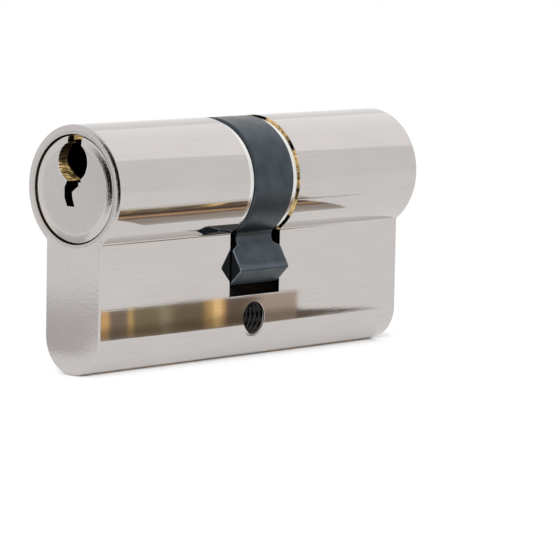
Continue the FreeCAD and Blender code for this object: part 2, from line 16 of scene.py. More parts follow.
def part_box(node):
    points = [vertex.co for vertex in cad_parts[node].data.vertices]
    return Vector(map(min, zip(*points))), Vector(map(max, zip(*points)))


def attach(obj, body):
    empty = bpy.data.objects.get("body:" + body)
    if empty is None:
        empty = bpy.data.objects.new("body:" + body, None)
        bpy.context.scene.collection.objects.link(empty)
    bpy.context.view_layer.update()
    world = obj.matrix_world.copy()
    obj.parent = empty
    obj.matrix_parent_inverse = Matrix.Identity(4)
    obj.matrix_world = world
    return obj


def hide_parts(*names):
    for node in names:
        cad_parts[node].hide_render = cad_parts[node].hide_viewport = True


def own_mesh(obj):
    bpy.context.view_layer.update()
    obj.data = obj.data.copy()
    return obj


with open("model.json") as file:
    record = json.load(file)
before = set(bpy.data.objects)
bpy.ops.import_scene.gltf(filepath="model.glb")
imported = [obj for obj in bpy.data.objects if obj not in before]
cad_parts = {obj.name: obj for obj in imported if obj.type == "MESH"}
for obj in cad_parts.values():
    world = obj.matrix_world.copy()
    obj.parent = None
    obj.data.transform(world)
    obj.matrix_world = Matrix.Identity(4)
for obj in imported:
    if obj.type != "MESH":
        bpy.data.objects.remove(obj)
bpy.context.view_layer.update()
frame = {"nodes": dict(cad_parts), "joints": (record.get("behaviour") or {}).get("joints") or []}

bl_info = {
    "name": "Euro cylinder",
    "version": (1, 0, 0),
    "blender": (4, 5, 0),
    "location": "View3D > Sidebar > Euro cylinder",
    "description": "Makes the visible parts of a double euro-profile lock cylinder",
    "category": "Object",
}

MM = 0.001
ENDS = ("front", "rear")
PINS = (1, 2, 3, 4, 5)
# how far a tool runs past what it cuts, and how far a joined end sinks into its neighbour
OVERRUN = 1.0 * MM
SINK = 0.02 * MM

JOINTS = {joint["name"]: joint for joint in frame["joints"]}
LOW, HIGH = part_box("housing")
HALF_LENGTH = HIGH.x
AXIS_Z = JOINTS["front_plug_turn"]["pos_m"][2]
STEM_BOTTOM = LOW.z


# ---- sizes and colours that a user may change ----

def length(name, millimetres, description):
    """A length property whose default is given in millimetres."""
    return FloatProperty(
        name=name, description=description, default=millimetres * MM, min=0.0, unit="LENGTH", precision=5
    )


def angle(name, degrees, description):
    return FloatProperty(name=name, description=description, default=math.radians(degrees), subtype="ANGLE")


def colour(name, value, description):
    return FloatVectorProperty(
        name=name, description=description, default=value, size=3, min=0.0, max=1.0, subtype="COLOR"
    )


def share(name, value, description):
    return FloatProperty(
        name=name, description=description, default=value, min=0.0, max=1.0, subtype="FACTOR"
    )


def power(name, watts, description):
    return FloatProperty(name=name, description=description, default=watts, min=0.0, unit="POWER")


class HousingSizes(bpy.types.PropertyGroup):
    """Sizes of the extruded housing."""

    barrel_radius: length("Barrel radius", HIGH.y / MM, "Radius of the barrel")
    stem_radius: length("Stem radius", 5, "Half the thickness of the stem and the radius of its foot")
    shoulder_fillet: length("Shoulder fillet", 0.5, "Hollow radius between the barrel and the stem")
    end_bevel: length("End bevel", 0.15, "Bevel round each end face")
    rim_width: length("Rim width", 0.9, "Width of the shallow rim on each end of the barrel")
    rim_drop: length("Rim drop", 0.1, "End face down to that rim's outer edge")
    slot_width: length("Cam slot width", 10, "Width of the cam slot along the barrel")
    slot_drop: length("Cam slot drop", 15.5, "Barrel axis down to the floor of the cam slot")
    bore_radius: length("Plug bore", 6.5, "Radius of the bore that each plug turns in")
    recess_radius: length("Flange recess", 7.2, "Radius of the counterbore for a plug's flange")
    recess_depth: length("Recess depth", 1.3, "Depth of that counterbore")
    chamber_radius: length("Pin chamber", 1.5, "Radius of a pin chamber")
    edge_round: length("Edge rounding", 0.1, "Rounding of the machined edges")


class ThreadSizes(bpy.types.PropertyGroup):
    """Sizes of the thread in the fixing hole."""

    root_radius: length("Root radius", 2.5, "Radius at the root of the thread")
    crest_radius: length("Crest radius", 2.1, "Radius at the crest of the thread")
    pitch: length("Pitch", 0.8, "Advance of the thread in one turn")
    mouth_bevel: length("Mouth bevel", 0.1, "Countersink at both mouths of the hole")
    steps: IntProperty(name="Steps", description="Grid steps along one pitch", default=10, min=4)


class PlugSizes(bpy.types.PropertyGroup):
    """Sizes of the plugs and of their retaining rings."""

    plug_radius: length("Plug radius", 6.45, "Radius of the plug in its bore")
    flange_radius: length("Flange radius", 7.06, "Radius of the flange that shows at the end")
    flange_length: length("Flange length", 1.25, "Length of that flange")
    rim_width: length("Rim width", 1.4, "Width of the plug's shallow rim")
    rim_drop: length("Rim drop", 0.2, "Plug's face down to that rim's outer edge")
    inner_end: length("Inner end", 2.6, "Middle of the lock to the plug's inner end")
    groove_radius: length("Ring groove", 5.7, "Radius at the floor of the retaining ring's groove")
    keyway_width: length("Keyway width", 2.5, "Width of the upper keyway")
    keyway_drop: length("Keyway drop", 2.25, "Plug's axis to the keyway's floor")
    keyway_side: length("Keyway side", 0.05, "Sideways place of the upper keyway")
    blade_width: length("Blade width", 1.35, "Width of the keyway's floor")
    blade_side: length("Blade side", 0.55, "Sideways place of the keyway's floor")
    blade_lean: length("Blade lean", 0.5, "Sideways lean of the lower keyway")
    ward_width: length("Ward width", 0.65, "Ward ledge beside the lower keyway")
    ward_rise: length("Ward rise", 0.5, "Plug's axis up to the ward ledge")
    ward_slope: length("Ward slope", 0.85, "Height of the slope under the ward ledge")
    mouth_radius: length("Mouth radius", 2.65, "Radius of the keyway's round mouth")
    mouth_rise: length("Mouth rise", 3.6, "Plug's axis up to the middle of the mouth")
    mouth_side: length("Mouth side", 0.28, "Sideways place of the mouth")
    mouth_depth: length("Mouth depth", 4, "Depth of the round mouth")
    slot_width: length("Clutch slot", 3.2, "Width of the slot across the plug's inner end")
    slot_depth: length("Clutch slot depth", 3.5, "Depth of that slot")
    seat_radius: length("Clutch seat", 3.05, "Radius of the seat for the clutch's hub")
    seat_depth: length("Clutch seat depth", 1.3, "Depth of that seat")
    pin_hole_rise: length("Pin hole rise", 0.6, "Plug's axis up to the blind end of its pin holes")
    ring_opening: angle("Ring opening", 50, "Opening at the bottom of a retaining ring")
    edge_round: length("Edge rounding", 0.05, "Rounding of the plug's cut edges")


class SpringSizes(bpy.types.PropertyGroup):
    """Sizes of the coil springs under the driver pins."""

    wire_radius: length("Wire radius", 0.2, "Radius of the round spring wire")
    working_turns: IntProperty(
        name="Working turns", default=5, min=1, description="Open turns between the two closed end turns"
    )


class CamSizes(bpy.types.PropertyGroup):
    """Sizes of the cam, its lever and its flared nose."""

    ring_radius: length("Ring radius", 8.45, "Outer radius of the cam's ring")
    ring_width: length("Ring width", 7.7, "Width of the cam's ring along the barrel")
    ring_bevel: length("Ring bevel", 0.25, "Bevel of the ring's rims")
    web_width: length("Web width", 5, "Width of the inner web")
    web_bore: length("Web bore", 4.2, "Radius of the web's bore")
    lean: angle("Lean", 14, "Angle of the lever from straight down")
    half_angle: angle("Half angle", 16.3, "Lever's centre line to each side")
    hollow: length("Hollow", 1.3, "Hollow radius between the ring and the lever")
    nose_width: length("Nose width", 9.7, "Width of the flared nose")
    nose_root: length("Nose root", 9.8, "Axis to the start of the flare")
    nose_ramp: length("Nose ramp", 0.7, "Slope of the nose's shoulders")
    nose_peak: length("Nose peak", 13.7, "Axis to the nose's widest edges")
    nose_tip: length("Nose tip", 14.8, "Axis to the nose's tip")
    tip_half_angle: angle("Tip half angle", 4.9, "Half of the tip's arc")
    nose_round: length("Peak rounding", 0.35, "Rounding of the widest edges")
    notch_width: length("Notch width", 3.2, "Width of the notches for the clutch")
    notch_reach: length("Notch reach", 5.7, "Axis to the end of a notch")
    edge_round: length("Edge rounding", 0.12, "Rounding of the sintered edges")


class FinishColours(bpy.types.PropertyGroup):
    """Colours of the metals."""

    nickel: colour("Nickel", (0.560, 0.530, 0.512), "Nickel plating")
    brass: colour("Brass", (0.80, 0.56, 0.24), "Bare machined brass")
    # painted shade: a near-black brass that stands for the shade deep in the slot, the bores, the keyway and
    # the gaps round the plugs
    oily: colour("Oily brass", (0.006, 0.005, 0.004), "Brass under dark grease, deep inside the lock")
    phosphate: colour("Phosphate", (0.050, 0.060, 0.070), "Phosphated steel of the cam")
    zinc: colour("Zinc", (0.78, 0.78, 0.76), "Zinc plating of the retaining rings")
    steel: colour("Steel", (0.56, 0.56, 0.57), "Ground steel of the clutch")
    spring_steel: colour("Spring steel", (0.42, 0.42, 0.43), "Drawn wire of the springs")
    plate_roughness: share("Plate roughness", 0.06, "Roughness of the plated long sides")
    rim_roughness: share("Rim roughness", 0.11, "Roughness of the turned rims at the ends")
    face_roughness: share("Face roughness", 0.34, "Roughness of the turned and sawn end faces")


class StudioSettings(bpy.types.PropertyGroup):
    """Camera, floor and light."""

    azimuth: angle("Azimuth", -48.456, "Camera's turn round the part, from the -Y side towards +X")
    elevation: angle("Elevation", 6.514, "Camera's height as an angle")
    roll: angle("Roll", 1.140, "Camera's roll")
    distance: length("Distance", 480, "Camera to its aim")
    aim: FloatVectorProperty(
        name="Aim", description="Point that the camera looks at", size=3, subtype="XYZ", unit="LENGTH",
        default=(3.465 * MM, -6.530 * MM, 5.017 * MM), precision=5,
    )
    lens: FloatProperty(name="Lens", description="Focal length in millimetres", default=225.97, min=1.0)
    floor_colour: colour("Floor", (0.95, 0.95, 0.95), "Plain pale floor")
    sky: share("Surroundings", 0.86, "Brightness of the pale surroundings that light the part")
    glow: share("Floor glow", 0.85, "Share of plain white in what the camera and the metal see of the floor")
    glow_level: FloatProperty(name="Glow level", description="Strength of that white", default=1.03, min=0.0)
    lamp_power: power("Lamp", 0.25, "Power of the wide lamp")
    fill_power: power("Fill", 2.5, "Power of the front lamp")


# ---- outlines: closed rows of (Y, Z) points, anticlockwise seen from +X ----

def arc(centre, radius, start, stop, steps):
    """Points centre + radius * (cos a, sin a) for angles a in even steps from start to stop."""
    turn = np.linspace(start, stop, steps)
    return np.asarray(centre) + radius * np.column_stack((np.cos(turn), np.sin(turn)))


def rectangle(left, low, right, high):
    return np.array([(left, low), (right, low), (right, high), (left, high)])


def from_stem(radius, turn):
    """(Y, Z) at a radius from the barrel axis, the angle taken from straight down to -Y."""
    return np.array((-radius * math.sin(turn), -radius * math.cos(turn)))


def filleted(points, corner, radius, steps=7):
    """Replaces one corner of an outline by an arc that touches both of its sides.

    The arc's centre lies on the corner's bisector, radius / sin(half the angle) away.
    """
    here = points[corner]
    back = points[corner - 1] - here
    ahead = points[(corner + 1) % len(points)] - here
    back = back / np.linalg.norm(back)
    ahead = ahead / np.linalg.norm(ahead)
    half = math.acos(np.clip(back @ ahead, -1, 1)) / 2
    bisector = (back + ahead) / np.linalg.norm(back + ahead)
    centre = here + bisector * radius / math.sin(half)
    first = here + back * radius / math.tan(half) - centre
    last = here + ahead * radius / math.tan(half) - centre
    start = math.atan2(first[1], first[0])
    sweep = (math.atan2(last[1], last[0]) - start + math.pi) % (2 * math.pi) - math.pi
    return np.vstack((points[:corner], arc(centre, radius, start, start + sweep, steps), points[corner + 1:]))


def hollow_centre(sizes, inset=0.0):
    """Centre of the hollow beside the stem, a fillet's radius outside both it and the barrel."""
    hollow = sizes.shoulder_fillet + inset
    centre_y = sizes.stem_radius - inset + hollow
    return centre_y, -math.sqrt((sizes.barrel_radius - inset + hollow) ** 2 - centre_y ** 2)


def euro_outline(sizes, inset):
    """The euro profile about the barrel axis, drawn in by the inset all round.

    Barrel arc, a hollow arc tangent to the barrel and the stem, the stem's side and its round
    foot.
    """
    barrel = sizes.barrel_radius - inset
    half = sizes.stem_radius - inset
    foot_z = STEM_BOTTOM - AXIS_Z + sizes.stem_radius
    centre_y, centre_z = hollow_centre(sizes, inset)
    touch = math.atan2(centre_z, centre_y)
    right_hollow = arc((centre_y, centre_z), sizes.shoulder_fillet + inset, math.pi, math.pi + touch, 8)
    over = arc((0, 0), barrel, touch, math.pi - touch, 181)
    left_hollow = right_hollow[::-1] * (-1, 1)
    foot = arc((0, foot_z), half, math.pi, 2 * math.pi, 73)
    return np.vstack((over, left_hollow[1:], foot, right_hollow[:-1]))


def rim_curve(face_x, start, sizes, reach, steps=8):
    """A shallow rim (x, r) from a radius outward: x falls by drop * (distance / width) ** 2."""
    out = np.linspace(0, reach, steps)
    fall = sizes.rim_drop * (out / sizes.rim_width) ** 2
    return np.column_stack((face_x - math.copysign(1, face_x) * fall, start + out))


def keyway_outline(sizes):
    """The keyway: a leaning lower slot with a ward ledge, and an upper slot open at the top."""
    left = sizes.keyway_side + sizes.keyway_width / 2
    right = sizes.keyway_side - sizes.keyway_width / 2
    floor_left = sizes.blade_side + sizes.blade_width / 2
    floor_right = sizes.blade_side - sizes.blade_width / 2
    ledge = floor_right - sizes.ward_width
    top = sizes.flange_radius + OVERRUN
    half_drop = -sizes.keyway_drop / 2
    return np.array([
        (floor_left, -sizes.keyway_drop),
        (floor_left + sizes.blade_lean, half_drop),
        (floor_left + sizes.blade_lean, sizes.ward_rise / 2),
        (left, sizes.ward_rise * 2),
        (left, top),
        (right, top),
        (right, sizes.ward_rise * 2),
        (ledge, sizes.ward_rise * 2),
        (ledge, sizes.ward_rise),
        (floor_right + sizes.blade_lean, sizes.ward_rise - sizes.ward_slope),
        (floor_right + sizes.blade_lean * 0.8, half_drop),
        (floor_right, -sizes.keyway_drop),
    ])


# ---- closed meshes from grids of points ----

def shell(name, grid, looped=False):
    """A closed mesh through a grid of points (sections, points round each section, XYZ).

    Four-sided faces join each point to its neighbours. The first and last sections are
    closed by a flat face each, or joined to each other when looped.
    """
    sections, around = grid.shape[:2]
    spans = sections if looped else sections - 1
    here = np.arange(spans)[:, None] * around
    beyond = (np.arange(spans)[:, None] + 1) % sections * around
    point = np.arange(around)[None, :]
    following = (point + 1) % around
    quads = np.stack((here + point, here + following, beyond + following, beyond + point), axis=-1)
    faces = quads.reshape(-1, 4).tolist()
    if not looped:
        faces.append(list(range(around - 1, -1, -1)))
        faces.append(list(range((sections - 1) * around, sections * around)))
    mesh = bpy.data.meshes.new(name)
    mesh.from_pydata(grid.reshape(-1, 3).tolist(), [], faces)
    piece = bpy.data.objects.new(name, mesh)
    bpy.context.scene.collection.objects.link(piece)
    return piece


def pulled(name, outlines, places):
    """A body along X: each outline (Y, Z) about the barrel axis stands at its place on X."""
    grid = np.stack([
        np.column_stack((np.full(len(outline), place), outline[:, 0], outline[:, 1] + AXIS_Z))
        for outline, place in zip(outlines, places)
    ])
    return shell(name, grid)


def spun(place, radius, turn):
    """Points (x, r cos a, r sin a) about the barrel axis, over a grid of profile and turn."""
    return np.stack((place + turn * 0, radius * np.cos(turn), AXIS_Z + radius * np.sin(turn)), axis=-1)


def turned(name, profile, steps=144):
    """A solid of revolution round the barrel axis, with one ring of points per (x, r)."""
    turn = np.arange(steps) * 2 * math.pi / steps
    place, radius = np.asarray(profile, float).T[:, :, None]
    return shell(name, spun(place, radius, turn))


def turned_ring(name, section, start=0.0, sweep=2 * math.pi, steps=144):
    """A closed section (x, r) carried round the barrel axis, whole or between two open ends."""
    whole = sweep >= 2 * math.pi
    turn = start + np.linspace(0, sweep, steps, endpoint=not whole)[:, None]
    place, radius = np.asarray(section, float).T[:, None, :]
    return shell(name, spun(place, radius, turn), looped=whole)


def prism(name, outline, ends):
    """One outline pulled between two places on X."""
    return pulled(name, (outline, outline), ends)


def upright_rod(name, x, low, high, radius, steps=40):
    """A rod along Z: two circles of points at its ends."""
    turn = np.arange(steps) * 2 * math.pi / steps
    circle = np.column_stack((x + radius * np.cos(turn), radius * np.sin(turn)))
    grid = np.stack([np.column_stack((circle, np.full(steps, z))) for z in (low, high)])
    return shell(name, grid)


def pin_x(end, number):
    """Place of a pin along the barrel, from its CAD node."""
    low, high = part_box(f"{end}_key_pin_{number}")
    return (low.x + high.x) / 2


def pin_rods(end, low, high, radius):
    """A rod at the place of each pin of one end."""
    return [upright_rod(f"{end}_rod_{number}", pin_x(end, number), low, high, radius) for number in PINS]


def thread_tool(name, sizes, reach, steps=56):
    """The space of a threaded hole along Y, with a small bevel at both mouths.

    radius(turn, y) = crest + (root - crest) * wave(y / pitch - turn) * fade, where the wave is a
    triangle with flat tops and the fade takes half a pitch from the mouth, and the bevel's
    cone beyond it if that is wider.
    """
    rows = int(2 * reach / sizes.pitch * sizes.steps)
    y = np.linspace(-reach, reach, rows)[:, None]
    turn = (np.arange(steps) / steps)[None, :]
    phase = (y / sizes.pitch - turn) % 1
    wave = np.clip(1.25 - np.abs(phase * 2 - 1) * 1.5, 0, 1)
    inward = reach - OVERRUN - np.abs(y)
    fade = np.clip(inward / sizes.pitch * 2, 0, 1)
    thread = sizes.crest_radius + (sizes.root_radius - sizes.crest_radius) * wave * fade
    cone = sizes.crest_radius + sizes.mouth_bevel - inward
    radius = np.maximum(thread, cone)
    turn = turn * 2 * math.pi
    grid = np.stack((radius * np.sin(turn), y + turn * 0, radius * np.cos(turn)), axis=-1)
    return shell(name, grid)


# ---- finishing a mesh ----

def settle(piece):
    """Replaces a piece's mesh by what its modifiers make of it."""
    depsgraph = bpy.context.evaluated_depsgraph_get()
    mesh = bpy.data.meshes.new_from_object(piece.evaluated_get(depsgraph))
    piece.modifiers.clear()
    piece.data = mesh


def combine(piece, tools, operation="DIFFERENCE"):
    """Cuts the tools out of a piece, or joins them to it, and removes them."""
    for tool in tools:
        modifier = piece.modifiers.new(tool.name, "BOOLEAN")
        modifier.operation = operation
        modifier.solver = "EXACT"
        modifier.object = tool
    settle(piece)
    for tool in tools:
        bpy.data.objects.remove(tool)


def soften(piece, width, limit=math.radians(35), mark=False):
    """Rounds every edge that turns by more than the limit, and may mark the faces of the roundings.

    The mark is the second of two empty material slots, which mark_edges turns into an attribute.
    """
    modifier = piece.modifiers.new("edges", "BEVEL")
    if mark:
        piece.data.materials.append(None)
        piece.data.materials.append(None)
        modifier.material = 1
    modifier.width = width
    modifier.segments = 2
    modifier.limit_method = "ANGLE"
    modifier.angle_limit = limit
    modifier.use_clamp_overlap = False
    settle(piece)


def mark_edges(piece):
    """Turns the mark of soften into the attribute "edge", 1 on a rounding's faces and 0 elsewhere."""
    mesh = piece.data
    marks = np.zeros(len(mesh.polygons), np.int32)
    mesh.polygons.foreach_get("material_index", marks)
    edge = mesh.attributes.new("edge", "FLOAT", "FACE")
    edge.data.foreach_set("value", np.minimum(marks, 1).astype(np.float32))
    mesh.polygons.foreach_set("material_index", np.zeros(len(marks), np.int32))


def smooth(piece, limit=math.radians(33)):
    """Smooth shading up to the limit, with normals led by the larger faces."""
    mesh = piece.data
    mesh.polygons.foreach_set("use_smooth", np.ones(len(mesh.polygons), bool))
    mesh.set_sharp_from_angle(angle=limit)
    modifier = piece.modifiers.new("normals", "WEIGHTED_NORMAL")
    modifier.keep_sharp = True
    settle(piece)


def turn_round(piece):
    """Half a turn about Z: X and Y change sign in the mesh."""
    piece.data.transform(Matrix.Rotation(math.pi, 4, "Z"))


def place(piece, material, body, slot, *nodes):
    """Gives a finished piece its material and its body, and hides the nodes it stands for. The slot is not
    used.
    """
    piece.data.materials.clear()
    piece.data.materials.append(material)
    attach(piece, body)
    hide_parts(*nodes)


# ---- shader maths ----

class Value:
    """A number that varies over a surface. Its operators add Math nodes."""

    def __init__(self, nodes, socket):
        self.nodes = nodes
        self.socket = socket

    def math(self, operation, *inputs):
        return self.nodes.node("ShaderNodeMath", {"operation": operation}, *inputs)

    def __add__(self, other):
        return self.math("ADD", self, other)

    __radd__ = __add__

    def __sub__(self, other):
        return self.math("SUBTRACT", self, other)

    def __rsub__(self, other):
        return self.math("SUBTRACT", other, self)

    def __mul__(self, other):
        return self.math("MULTIPLY", self, other)

    __rmul__ = __mul__

    def __gt__(self, other):
        return self.math("GREATER_THAN", self, other)

    def __lt__(self, other):
        return self.math("LESS_THAN", self, other)

    def __or__(self, other):
        return self.math("MAXIMUM", self, other)

    def __abs__(self):
        return self.math("ABSOLUTE", self)

    def root(self):
        return self.math("SQRT", self)

    def clamped(self):
        return self.nodes.node("ShaderNodeClamp", {}, self)


class Nodes:
    """The node tree of a material or of the surroundings, under construction."""

    def __init__(self, owner):
        owner.use_nodes = True
        self.tree = owner.node_tree

    def connect(self, socket, value):
        """Links a value to a socket, or sets a constant. A plain colour gets full alpha."""
        if isinstance(value, Value):
            self.tree.links.new(value.socket, socket)
        elif socket.type == "RGBA":
            socket.default_value = (*value, 1.0)
        else:
            socket.default_value = value

    def node(self, kind, settings, *inputs, output=0, **named):
        """Adds a node: its settings first, then its sockets by order and by name."""
        node = self.tree.nodes.new(kind)
        for key, value in settings.items():
            setattr(node, key, value)
        for index, value in enumerate(inputs):
            self.connect(node.inputs[index], value)
        for name, value in named.items():
            self.connect(node.inputs[name.replace("_", " ")], value)
        return Value(self, node.outputs[output])

    def mix(self, share, first, second):
        """A colour between two colours."""
        node = self.tree.nodes.new("ShaderNodeMix")
        node.data_type = "RGBA"
        for index, value in ((0, share), (6, first), (7, second)):
            self.connect(node.inputs[index], value)
        return Value(self, node.outputs[2])

    def end(self, shader):
        """Connects a material's last shader."""
        self.connect(self.tree.nodes["Material Output"].inputs["Surface"], shader)

    def locate(self):
        """The place on the piece in millimetres, whole and along each axis."""
        at = self.node("ShaderNodeTexCoord", {}, output="Object")
        self.at = self.node("ShaderNodeVectorMath", {"operation": "SCALE"}, at, Scale=1 / MM)
        self.x = self.node("ShaderNodeSeparateXYZ", {}, self.at, output="X")
        self.y = self.node("ShaderNodeSeparateXYZ", {}, self.at, output="Y")
        self.z = self.node("ShaderNodeSeparateXYZ", {}, self.at, output="Z")

    def noise(self, scale, detail=3.0, rough=0.55, stretch=(1.0, 1.0, 1.0)):
        """Noise on the piece's own coordinates, drawn out along an axis by a small stretch."""
        at = self.node("ShaderNodeVectorMath", {"operation": "MULTIPLY"}, self.at, stretch)
        return self.node("ShaderNodeTexNoise", {}, at, Scale=scale, Detail=detail, Roughness=rough)

    def step(self, value, low, high):
        """0 below low, 1 above high, smooth between."""
        return self.node(
            "ShaderNodeMapRange", {"interpolation_type": "SMOOTHSTEP"}, value, From_Min=low, From_Max=high
        )

    def looking(self):
        """1 for what the camera sees, directly or in the metal, and 0 for light that falls."""
        camera = self.node("ShaderNodeLightPath", {}, output="Is Camera Ray")
        glossy = self.node("ShaderNodeLightPath", {}, output="Is Glossy Ray")
        clear = self.node("ShaderNodeLightPath", {}, output="Is Transmission Ray")
        return camera | glossy | clear


def distance(across, up):
    return (across * across + up * up).root()


def shaded(colour_value, factor):
    """A colour made darker or lighter."""
    return tuple(factor * part for part in colour_value)


class InMillimetres:
    """A group's lengths in millimetres, the unit of the finishes."""

    def __init__(self, sizes):
        self.sizes = sizes

    def __getattr__(self, name):
        return getattr(self.sizes, name) / MM


class Finish(Nodes):
    """A metal finish under construction. Heights z are from the barrel axis."""

    def __init__(self, name):
        self.material = bpy.data.materials.new(name)
        super().__init__(self.material)
        self.locate()
        self.z = self.z - AXIS_Z / MM

    def radius(self, y=0.0, z=0.0):
        """Distance from a line along X, given in millimetres from the barrel axis."""
        return distance(self.y - y, self.z - z)

    def finish(self, colour_value, roughness, height, depth, metallic=1.0):
        """Ends the material. depth is the bump's height in millimetres."""
        inputs = self.tree.nodes["Principled BSDF"].inputs
        self.connect(inputs["Base Color"], colour_value)
        self.connect(inputs["Roughness"], roughness.clamped())
        self.connect(inputs["Metallic"], metallic)
        bump = self.node("ShaderNodeBump", {}, Strength=1.0, Distance=depth * MM, Height=height)
        self.connect(inputs["Normal"], bump)
        return self.material


def nickel_plate(colours, sizes, thread):
    """Bright nickel on extruded brass.

    Faint drawn lines run along X and the ends are satin. The slot's walls are bare brass near
    the barrel's surface. The bores, the slot's depth and the recess's rounded edge are painted near black as
    shade, and the fixing hole is painted dark as shade.
    """
    finish = Finish("nickel_plate")
    noise, step = finish.noise, finish.step
    sizes = InMillimetres(sizes)
    end_x = HALF_LENGTH / MM
    from_middle = abs(finish.x)
    radius = finish.radius()
    lines = noise(5.0, 4.0, stretch=(0.04, 1.0, 1.0))
    cloud = noise(0.35, stretch=(0.3, 1.0, 1.0))
    milled = noise(6.0, 2.0, stretch=(1.0, 0.1, 1.0))
    sawn = noise(7.0, stretch=(1.0, 1.0, 0.12))
    grain = noise(4.5, rough=0.7)
    chatter = noise(2.4, 1.5, 0.6)
    patches = noise(0.45, 2.0)

    # where each kind of surface lies
    ends = step(from_middle, end_x - 0.3, end_x - 0.05)
    rim_start = sizes.barrel_radius - sizes.rim_width
    rim = step(radius, rim_start, rim_start + 0.3) * ends
    in_slot = (from_middle < sizes.slot_width / 2 + 0.03) * (finish.z > -sizes.slot_drop - 0.05)
    # the bores and the recess, and 0.06 mm more onto the recess's rounded edge, which takes the painted shade
    # so the gap round each plug reads dark
    bored = radius < sizes.recess_radius + 0.06
    bare = in_slot | bored
    in_hole = distance(finish.x, finish.z + AXIS_Z / MM) < thread.root_radius / MM + 0.12
    # painted shade: the fixing hole's inside, from half a millimetre past its mouths, is near-black nickel
    hole_shade = in_hole * step(sizes.stem_radius - abs(finish.y), 0.05, 0.45)

    # brass shows in patches near the slot's rim, faintly in the recess, and at its step's top; elsewhere the
    # painted shade covers it, and the recess's faint share paints the gap round the flange dark
    near_rim = step(radius, 7.5, 8.2) * (finish.z > -7.0) * step(patches, 0.40, 0.58)
    recess = step(from_middle, end_x - 0.9, end_x - 0.3) * (from_middle < end_x - 0.12)
    step_face = abs(from_middle - end_x + sizes.recess_depth) < 0.08
    recess = (recess * 0.15 | step_face * (finish.z > 5.8)) * bored
    shows = (near_rim * in_slot | recess) * (0.55 + 0.45 * step(milled, 0.35, 0.60))

    worn = finish.mix(cloud, colours.nickel, shaded(colours.nickel, 0.92))
    marks = step(lines, 0.50, 0.72) * (1 - ends) * 0.5 | step(grain, 0.45, 0.72) * ends
    worn = finish.mix(marks, worn, shaded(colours.nickel, 0.86))
    # painted shade: the bare insides are near black except where the brass shows
    inner = finish.mix(shows, colours.oily, colours.brass)
    colour_value = finish.mix(bare, worn, inner)
    colour_value = finish.mix(hole_shade, colour_value, shaded(colours.nickel, 0.06))
    plated = colours.plate_roughness + (lines - 0.5) * 0.05 + (cloud - 0.5) * 0.03
    face = colours.face_roughness + (grain - 0.5) * 0.12
    roughness = plated + ends * (face - plated) + rim * (colours.rim_roughness - face)
    roughness = roughness + (bare | hole_shade) * 0.2 + shows * 0.2
    end_marks = sawn * 4.0 + grain * 3.0
    height = lines * (1 - ends) + end_marks * ends + milled * bare * 2.5 + chatter * rim * 6.0
    return finish.finish(colour_value, roughness, height, 0.0015, 1 - shows * 0.6)


def plug_nickel(colours, sizes, side):
    """Nickel with fine turning marks round the plug's axis, and a brass keyway that is painted dark inside as
    shade.

    The brass shows on the wall of the keyway's round mouth, further in at its lower side and darker towards
    the top; deeper in, the painted shade takes over. The flange's outer edge also gets the painted shade, so
    the gap round the plug reads dark. The mouth's sideways place has the side's sign, because the rear plug
    is turned half round.
    """
    finish = Finish("plug_nickel")
    noise, step = finish.noise, finish.step
    sizes = InMillimetres(sizes)
    radius = finish.radius()
    wobble = noise(0.8, 2.0)
    rings = finish.node(
        "ShaderNodeTexNoise", {"noise_dimensions": "1D"}, W=radius + wobble * 0.15, Scale=9.0, Detail=4.0
    )
    cloud = noise(0.6)
    chatter = noise(2.2, 1.5, 0.6)
    grain = noise(4.5, rough=0.7)
    drawn = noise(4.0, stretch=(0.15, 1.0, 1.0))
    depth = HALF_LENGTH / MM - abs(finish.x)
    rim_start = sizes.flange_radius - sizes.rim_width
    sloping = step(radius, rim_start, rim_start + 0.3)
    below_face = depth - sloping * sizes.rim_drop
    # outside the plated face the inside shows, brass or painted shade; the flange's outer 0.03 mm is left to
    # the painted shade so the gap round the plug reads dark
    plated = (1 - step(below_face, 0.05, 0.14)) * (radius < sizes.flange_radius - 0.03)
    rim = sloping * plated

    from_mouth = finish.radius(sizes.mouth_side * side, sizes.mouth_rise)
    on_wall = step(from_mouth, sizes.mouth_radius - 0.12, sizes.mouth_radius - 0.04)
    on_wall = on_wall * (from_mouth < sizes.mouth_radius + 0.12)
    # painted shade by depth: the brass shows on the mouth's wall only to a depth of 1.75 mm, 0.9 mm more at
    # its lower side, and half as strong towards the top
    lower = 1 - step(finish.z, 1.2, 3.4)
    reach = 1.75 + lower * 0.9
    shows = on_wall * (1 - step(depth - reach, -0.25, 0.1)) * step(drawn, 0.22, 0.55)
    shows = shows * (0.30 + 0.70 * step(cloud, 0.42, 0.60))
    shows = shows * (1 - 0.5 * step(finish.z, 3.8, 5.6))
    # painted shade: elsewhere inside the keyway the brass is near black
    inner = finish.mix(shows, colours.oily, colours.brass)
    marks = step(rings, 0.50, 0.75) * 0.6 | step(grain, 0.45, 0.72)
    worn = finish.mix(marks, colours.nickel, shaded(colours.nickel, 0.86))
    colour_value = finish.mix(plated, inner, worn)
    uneven = (rings - 0.5) * 0.16 + (cloud - 0.5) * 0.10 + (grain - 0.5) * 0.10
    face = colours.face_roughness - 0.02 + uneven
    roughness = face + rim * (colours.rim_roughness - face) + shows * 0.2
    height = (rings * 1.5 + grain * 0.8) * plated + (drawn + cloud) * (1 - plated) + chatter * rim * 1.7
    return finish.finish(colour_value, roughness, height, 0.006, 1 - shows * 0.6)


